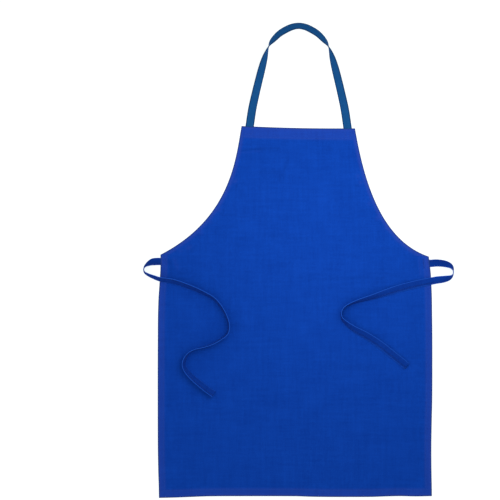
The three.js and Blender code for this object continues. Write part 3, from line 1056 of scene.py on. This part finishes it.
# %% The node tree that sews
def sewing_tree():
    tree = bpy.data.node_groups.new("sewing", "GeometryNodeTree")
    for label, kind, given in (
        ("Geometry", "NodeSocketGeometry", None),
        ("Pitch", "NodeSocketFloat", 0.003),
        ("Length", "NodeSocketFloat", 0.0024),
        ("Thread", "NodeSocketFloat", 0.0005),
        ("Finish", "NodeSocketMaterial", None),
    ):
        made = tree.interface.new_socket(label, in_out="INPUT", socket_type=kind)
        if given is not None:
            made.default_value = given
    tree.interface.new_socket("Geometry", in_out="OUTPUT", socket_type="NodeSocketGeometry")

    def add(kind, settings=None, **links):
        made = tree.nodes.new(kind)
        for name, choice in (settings or {}).items():
            setattr(made, name, choice)
        for name, given in links.items():
            socket = made.inputs[name.replace("_", " ")]
            if isinstance(given, bpy.types.NodeSocket):
                tree.links.new(given, socket)
            else:
                socket.default_value = given
        return made

    given = add("NodeGroupInput").outputs
    facing = add("GeometryNodeInputNamedAttribute", {"data_type": "FLOAT_VECTOR"}, Name="facing")
    curve = add("GeometryNodeMeshToCurve", Mesh=given["Geometry"])
    spaced = add(
        "GeometryNodeResampleCurve", {"mode": "LENGTH"}, Curve=curve.outputs[0], Length=given["Pitch"]
    )
    tangent = add("GeometryNodeInputTangent")
    upright = add("FunctionNodeAlignRotationToVector", {"axis": "Z"}, Vector=facing.outputs[0])
    turned = add(
        "FunctionNodeAlignRotationToVector",
        {"axis": "X", "pivot_axis": "Z"},
        Rotation=upright.outputs[0],
        Vector=tangent.outputs[0],
    )
    bead = add("GeometryNodeMeshUVSphere", Segments=8, Rings=4, Radius=0.5)
    bead_size = add("ShaderNodeCombineXYZ", X=given["Length"], Y=given["Thread"], Z=given["Thread"])
    shaped = add("GeometryNodeTransform", Geometry=bead.outputs[0], Scale=bead_size.outputs[0])
    placed = add(
        "GeometryNodeInstanceOnPoints",
        Points=spaced.outputs[0],
        Instance=shaped.outputs[0],
        Rotation=turned.outputs[0],
    )
    real = add("GeometryNodeRealizeInstances", Geometry=placed.outputs[0])
    finished = add("GeometryNodeSetMaterial", Geometry=real.outputs[0], Material=given["Finish"])
    output = add("NodeGroupOutput")
    tree.links.new(finished.outputs[0], output.inputs[0])
    return tree


sewing = sewing_tree()

# %% Sewing along lines
def sew(name, lines, **sizes):
    """Sews along lines of (points, facing) and returns the stitches as one plain mesh"""
    points = np.concatenate([line[0] for line in lines])
    facings = np.concatenate([line[1] for line in lines])
    links = []
    start = 0
    for line, _ in lines:
        links += [(start + i, start + i + 1) for i in range(len(line) - 1)]
        start += len(line)
    mesh = bpy.data.meshes.new(f"{name}_lines")
    mesh.from_pydata(points.tolist(), links, [])
    layer = mesh.attributes.new("facing", "FLOAT_VECTOR", "POINT")
    layer.data.foreach_set("vector", facings.astype(np.float32).ravel())
    guide = new_object(f"{name}_guide", mesh)
    modifier = guide.modifiers.new("sewing", "NODES")
    modifier.node_group = sewing
    inputs = [item for item in sewing.interface.items_tree if item.in_out == "INPUT"]
    sockets = {item.name: item.identifier for item in inputs}
    for label, given in sizes.items():
        modifier[sockets[label]] = given
    modifier[sockets["Finish"]] = sewing_thread
    evaluated = guide.evaluated_get(bpy.context.evaluated_depsgraph_get())
    result = bpy.data.meshes.new_from_object(evaluated)
    bpy.data.objects.remove(guide)
    made = new_object(name, result)
    smooth_shaded(result)
    print(f"{name}: {len(result.polygons)} faces")
    return made


# %% Seams of the cloth
grid_front = np.stack([grid_x, grid_y, front_z], axis=2)
grid_back = np.stack([grid_x, grid_y, back_z], axis=2)
seam_column = int(np.argmin(np.abs(edge_offsets(side_hem) - (side_hem - seam_inset))))
bottom_row = int(np.argmin(np.abs(rows - (bottom_hem - seam_inset))))
top_row = int(np.argmin(np.abs(rows - (whole_length - top_hem + seam_inset))))


def both_faces(pick):
    """The same line on the front and on the back, each facing outwards"""
    lines = []
    for face, direction, sink in ((grid_front, 1.0, 0.00002), (grid_back, -1.0, 0.00010)):
        points = pick(face).copy()
        points[:, 2] -= direction * sink
        facings = np.tile([0.0, 0.0, direction], (len(points), 1))
        lines.append((points, facings))
    return lines


above_waist = on_waist + 3
last_column = grid_x.shape[1] - 1 - seam_column
skirt_lines = [
    *both_faces(lambda face: face[bottom_row, 2:-2]),
    *both_faces(lambda face: face[bottom_row:on_waist, seam_column]),
    *both_faces(lambda face: face[bottom_row:on_waist, last_column]),
]
bib_lines = [
    *both_faces(lambda face: face[top_row, 2:-2]),
    *both_faces(lambda face: face[above_waist:top_row, seam_column]),
    *both_faces(lambda face: face[above_waist:top_row, last_column]),
]

# %% Box stitching where a tape is held
def face_height(x, y, face):
    """Height of a face at x and y, from the nearest place of the grid"""
    away = (grid_x - x) ** 2 + (grid_y - y) ** 2
    return face[..., 2].ravel()[np.argmin(away)]


def box_lines(middle, along, length, width):
    """A rectangle of stitches, on the front and on the back"""
    along = np.array(along) / np.linalg.norm(along)
    across = np.array([-along[1], along[0]])
    corners = [(-1, -1), (1, -1), (1, 1), (-1, 1), (-1, -1)]
    plan = [np.array(middle) + along * a * length / 2 + across * b * width / 2 for a, b in corners]
    fine = np.concatenate([
        np.linspace(a, b, 8, endpoint=False) for a, b in zip(plan, plan[1:])
    ] + [[plan[-1]]])
    lines = []
    for face, direction in ((grid_front, 1.0), (grid_back, -1.0)):
        heights = [face_height(x, y, face) + direction * 0.00002 for x, y in fine]
        points = np.column_stack([fine, heights])
        lines.append((points, np.tile([0.0, 0.0, direction], (len(points), 1))))
    return lines


tack_margin = 0.005              # how much smaller than its tape a box of stitches is
tie_tack_length = 0.009
tie_tack_from_edge = 0.0070
cloth_stitch = {"Pitch": 0.0030, "Length": 0.0025, "Thread": 0.00055}
tie_stitch = {"Pitch": 0.0028, "Length": 0.0023, "Thread": 0.00045}

for rows_of_leg in (strap_rows[:2], strap_rows[:-3:-1]):
    root, following = (np.array(row[:2]) for row in rows_of_leg)
    leg = following - root
    leg /= np.linalg.norm(leg)
    middle = root - leg * strap_sewn / 2
    bib_lines += box_lines(middle, leg, strap_sewn - tack_margin, strap_width - tack_margin)
for leaves, inward in ((left_exit, 1), (right_exit, -1)):
    middle = (leaves[0] + inward * tie_tack_from_edge, leaves[1])
    skirt_lines += box_lines(middle, (1, 0), tie_tack_length, tie_width - tack_margin)

skirt_stitches = sew("skirt_stitches", skirt_lines, **cloth_stitch)
bib_stitches = sew("bib_stitches", bib_lines, **cloth_stitch)

# %% Seams of the ties
for side_name, tie in ties.items():
    line = tie["line"]
    lines = []
    for direction in (1.0, -1.0):
        out = line["normal"] * direction
        seam_line = line["centre"] + line["across"] * tie_seam
        seam_line = seam_line + out * (tie_thickness / 2 - tie_seam_depth)
        keep = line["run"] > tie_sewn + 0.001
        lines.append((seam_line[keep], out[keep]))
    tie["stitches"] = sew(f"{side_name}_tie_stitches", lines, **tie_stitch)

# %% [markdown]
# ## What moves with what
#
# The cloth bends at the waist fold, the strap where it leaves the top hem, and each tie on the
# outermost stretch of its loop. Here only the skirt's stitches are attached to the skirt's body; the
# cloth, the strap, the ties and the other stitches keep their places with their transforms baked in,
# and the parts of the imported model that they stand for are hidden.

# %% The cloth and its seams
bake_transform(apron_cloth)
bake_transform(bib_stitches)
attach(skirt_stitches, "skirt")

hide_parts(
    "bib_panel", "skirt_panel", "top_hem", "bottom_hem", "left_side_hem", "right_side_hem",
    "left_armhole_hem", "right_armhole_hem",
)
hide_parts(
    "left_side_stitching", "right_side_stitching", "bottom_stitching",
    "left_tie_tack", "right_tie_tack",
)
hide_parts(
    "top_hem_stitching", "left_armhole_stitching", "right_armhole_stitching",
    "left_strap_tack", "right_strap_tack",
)

# %% The strap and the ties
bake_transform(neck_strap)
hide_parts("neck_strap", "neck_strap_left_end", "neck_strap_right_end")

for side_name, tie in ties.items():
    for piece in (tie["object"], tie["stitches"]):
        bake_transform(piece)
    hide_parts(f"{side_name}_tie", f"{side_name}_tie_root")

# %% [markdown]
# ## Table and light
#
# The apron lies on a plain white table that glows a little, so that it reads as white all round it
# without being so bright that thin edges drown in it. Most of the light comes evenly from the sky,
# which leaves a soft dark halo beside each standing tie. One small round lamp close above the bib
# gives the cloth its fall of light towards the hem and the sides.

# %% The table
table_grey = (0.24, 0.24, 0.24, 1)
table_pale = (0.26, 0.26, 0.26, 1)


def table_finish():
    finish = Finish("white_table")
    grain = finish.noise(finish.node("ShaderNodeTexCoord", output="Object"), 4.0)
    finish.surface(Base_Color=finish.mixed(grain, table_grey, table_pale))
    finish.surface(Roughness=0.9, Specular_IOR_Level=0.1)
    finish.surface(Emission_Color=(0.92, 0.99, 1.0, 1.0), Emission_Strength=0.87)
    return finish.material


table_half = 8.0
table_height = cad_box[0][2] - 0.0001
table_mesh = bpy.data.meshes.new("table_top")
table_mesh.from_pydata(
    [(-table_half, -table_half, table_height), (table_half, -table_half, table_height),
     (table_half, table_half, table_height), (-table_half, table_half, table_height)],
    [], [(0, 1, 2, 3)],
)
table_top = new_object("table_top", table_mesh)
table_mesh.materials.append(table_finish())
table_top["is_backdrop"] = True

# %% The lamp and the sky
def lamp(name, place, target, size, power):
    data = bpy.data.lights.new(name, "AREA")
    data.shape = "DISK"
    data.size = size
    data.energy = power
    made = bpy.data.objects.new(name, data)
    made.location = place
    made.rotation_euler = (Vector(target) - Vector(place)).to_track_quat("-Z", "Y").to_euler()
    made.visible_camera = False
    bpy.context.scene.collection.objects.link(made)
    return made


lamp("key", place=(0.12, 0.17, 0.55), target=(0.12, 0.17, 0), size=0.65, power=2.5)
world = bpy.data.worlds.new("sky")
world.use_nodes = True
sky = world.node_tree.nodes["Background"].inputs
sky["Color"].default_value = (1, 1, 1, 1)
sky["Strength"].default_value = 0.97
bpy.context.scene.world = world
bpy.context.scene.view_settings.view_transform = "Standard"

# %% [markdown]
# ## Size
#
# The box of the imported model and the box of the visible one are both printed.

# %% Both boxes
visual_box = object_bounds()
for label, (low, high) in (("cad", cad_box), ("visual", visual_box)):
    print(label, [round(value * 1000, 1) for value in (*low, *high)])
